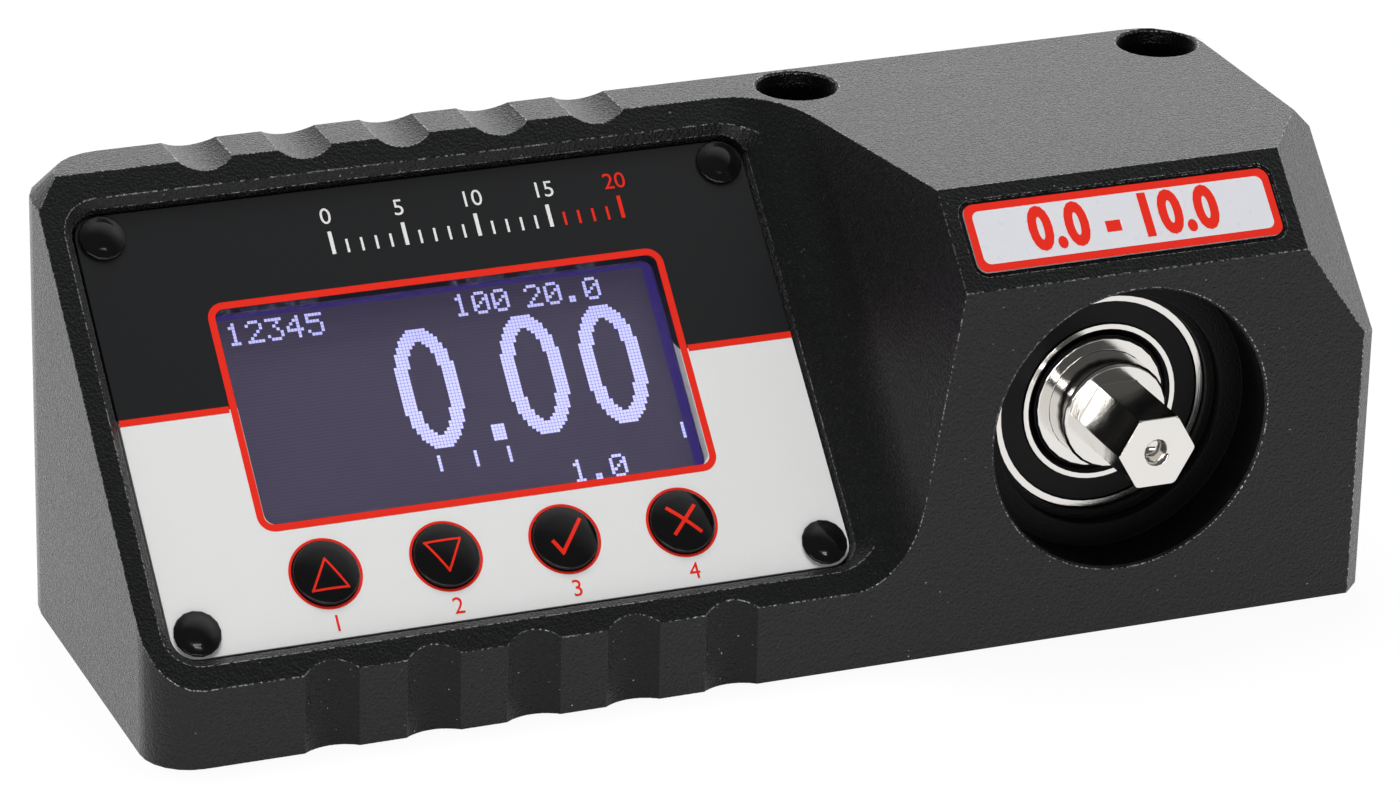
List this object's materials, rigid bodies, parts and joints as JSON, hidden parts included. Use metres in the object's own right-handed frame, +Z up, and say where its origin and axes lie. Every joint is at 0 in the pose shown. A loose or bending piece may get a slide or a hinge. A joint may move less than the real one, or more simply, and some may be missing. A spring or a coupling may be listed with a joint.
{
  "type": "bench torque tester",
  "caption": "Bench torque tester: solid black housing with a sloping display panel, push keys, a hexagon drive in a ball bearing and counterbored mounting holes.",
  "frame": {"origin": "bottom centre of the bounding box, on the surface the tester stands on", "axes": "+X along the length, from the display to the drive; +Y from the front to the back; +Z up"},
  "size_m": [0.1788, 0.0732, 0.0647],
  "materials": {
    "black_coat": "fine-textured black coat on machined aluminium",
    "panel_print": "sheet printed black and off-white",
    "black_gloss": "glossy black",
    "black_plastic": "matt moulded black",
    "black_screw": "blackened steel",
    "clear_pane": "clear pane",
    "display_blue": "dark blue liquid crystal cell",
    "tin_plate": "tinned sheet steel",
    "board_green": "green circuit board",
    "label_print": "printed film",
    "bright_steel": "ground bright steel",
    "rubber": "black rubber seal",
    "cage_brass": "pressed cage with its balls",
    "shrink_wrap": "blue shrink sleeve",
    "grey_sheath": "grey cable sheath"
  },
  "bodies": {
    "tester": {"housing": "black_coat", "base_cover": "black_coat", "front_panel": "panel_print", "panel_cap_1": "black_gloss", "panel_cap_2": "black_gloss", "panel_cap_3": "black_gloss", "panel_cap_4": "black_gloss", "key_switch_1": "black_plastic", "key_switch_2": "black_plastic", "key_switch_3": "black_plastic", "key_switch_4": "black_plastic", "buzzer": "black_plastic", "power_socket": "black_plastic", "board_spacer_1": "black_plastic", "board_spacer_2": "black_plastic", "board_spacer_3": "black_plastic", "board_spacer_4": "black_plastic", "flange_screw_1": "black_screw", "flange_screw_2": "black_screw", "flange_screw_3": "black_screw", "flange_screw_4": "black_screw", "display_window": "clear_pane", "display_glass": "display_blue", "display_frame": "tin_plate", "data_socket": "tin_plate", "display_board": "board_green", "main_board": "board_green", "range_label": "label_print", "base_screw_1": "bright_steel", "base_screw_2": "bright_steel", "base_screw_3": "bright_steel", "base_screw_4": "bright_steel", "bearing_outer_ring": "bright_steel", "drive_flange": "bright_steel", "bearing_seal_front": "rubber", "bearing_seal_rear": "rubber", "battery_pack": "shrink_wrap", "gauge_lead": "grey_sheath"},
    "up_button": {"key_up": "black_gloss"},
    "down_button": {"key_down": "black_gloss"},
    "confirm_button": {"key_confirm": "black_gloss"},
    "cancel_button": {"key_cancel": "black_gloss"},
    "drive": {"drive_shaft": "bright_steel", "bearing_inner_ring": "bright_steel"},
    "balls": {"ball_cage": "cage_brass"}
  },
  "joints": [
    {"name": "up_press", "type": "slide", "parent": "tester", "child": "up_button", "axis": [0, 0.7025, -0.7117], "range_m": [0, 0.0004], "stiffness_N_per_m": 3000},
    {"name": "down_press", "type": "slide", "parent": "tester", "child": "down_button", "axis": [0, 0.7025, -0.7117], "range_m": [0, 0.0004], "stiffness_N_per_m": 3000},
    {"name": "confirm_press", "type": "slide", "parent": "tester", "child": "confirm_button", "axis": [0, 0.7025, -0.7117], "range_m": [0, 0.0004], "stiffness_N_per_m": 3000},
    {"name": "cancel_press", "type": "slide", "parent": "tester", "child": "cancel_button", "axis": [0, 0.7025, -0.7117], "range_m": [0, 0.0004], "stiffness_N_per_m": 3000},
    {"name": "drive_twist", "type": "hinge", "parent": "tester", "child": "drive", "pos_m": [0.0513, -0.02835, 0.0302], "axis": [0, -1, 0], "range_deg": [-1, 1], "stiffness_Nm_per_rad": 570},
    {"name": "cage_roll", "type": "hinge", "parent": "tester", "child": "balls", "pos_m": [0.0513, -0.02835, 0.0302], "axis": [0, -1, 0], "range_deg": [-0.5, 0.5]}
  ],
  "couplings": [
    {"joint": "cage_roll", "follows": "drive_twist", "ratio": 0.428}
  ]
}
